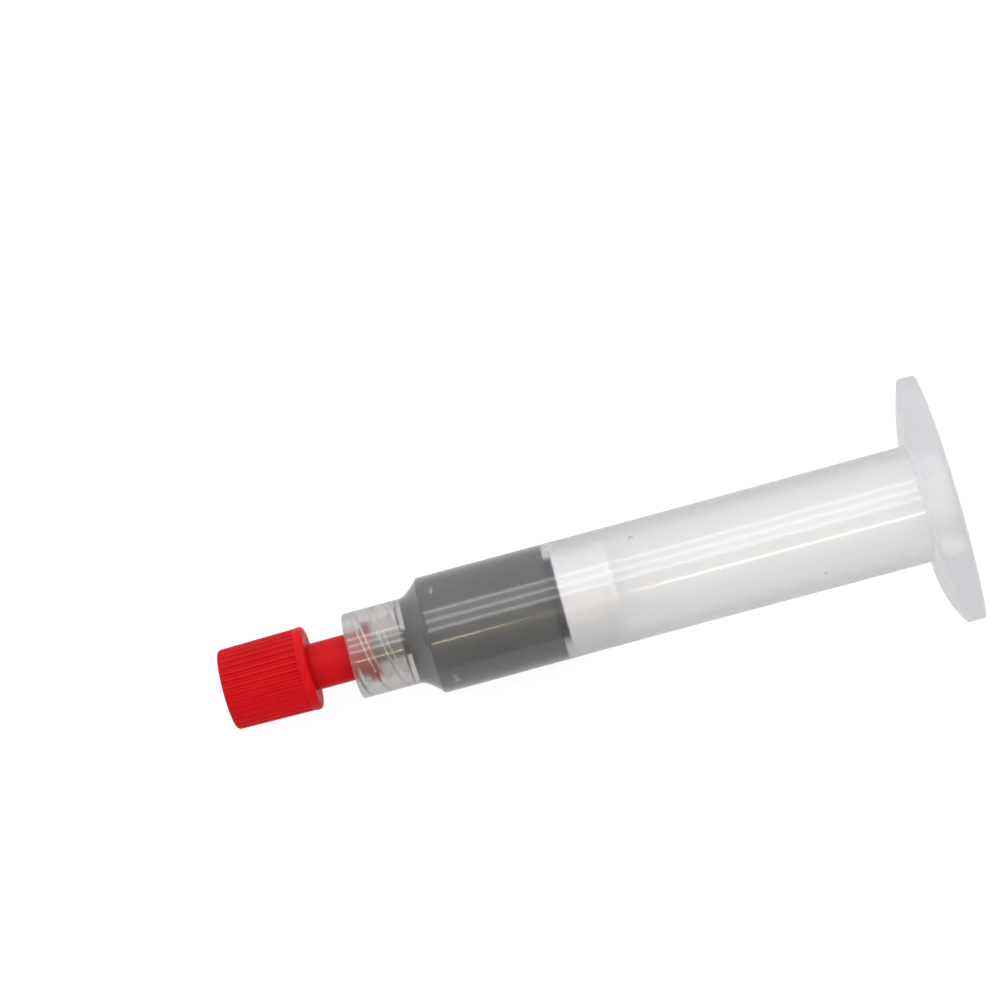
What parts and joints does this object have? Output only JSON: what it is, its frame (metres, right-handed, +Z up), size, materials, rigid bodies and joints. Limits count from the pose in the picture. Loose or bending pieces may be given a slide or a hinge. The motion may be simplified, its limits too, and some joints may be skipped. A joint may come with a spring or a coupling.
{
  "type": "solder paste syringe",
  "caption": "Translucent dispensing barrel with solder paste, a wiper piston, a threaded lock collar with a ribbed red tip cap, and an oval finger flange.",
  "frame": {"origin": "on the surface that the syringe lies on, under the middle of its box", "axes": "+X from the tip cap towards the finger flange, +Z up; the syringe's own axis rises 1.35 degrees towards the flange, because it lies on the flange's edge and the corner of the shoulder"},
  "size_m": [0.0978, 0.0338, 0.0187],
  "materials": {
    "clear_polypropylene": "satin",
    "red_cap": "satin",
    "white_piston": "satin",
    "solder_paste": "satin"
  },
  "bodies": {
    "barrel": {"barrel": "clear_polypropylene", "solder_paste": "solder_paste"},
    "piston": {"piston": "white_piston"},
    "tip_cap": {"tip_cap": "red_cap"}
  },
  "joints": [
    {"name": "piston_slide", "type": "slide", "parent": "barrel", "child": "piston", "axis": [-0.9997, 0, -0.0235], "range_m": [0, 0.014], "deforming": ["solder_paste"]},
    {"name": "cap_off", "type": "slide", "parent": "barrel", "child": "tip_cap", "axis": [-0.9997, 0, -0.0235], "range_m": [0, 0.012]}
  ]
}
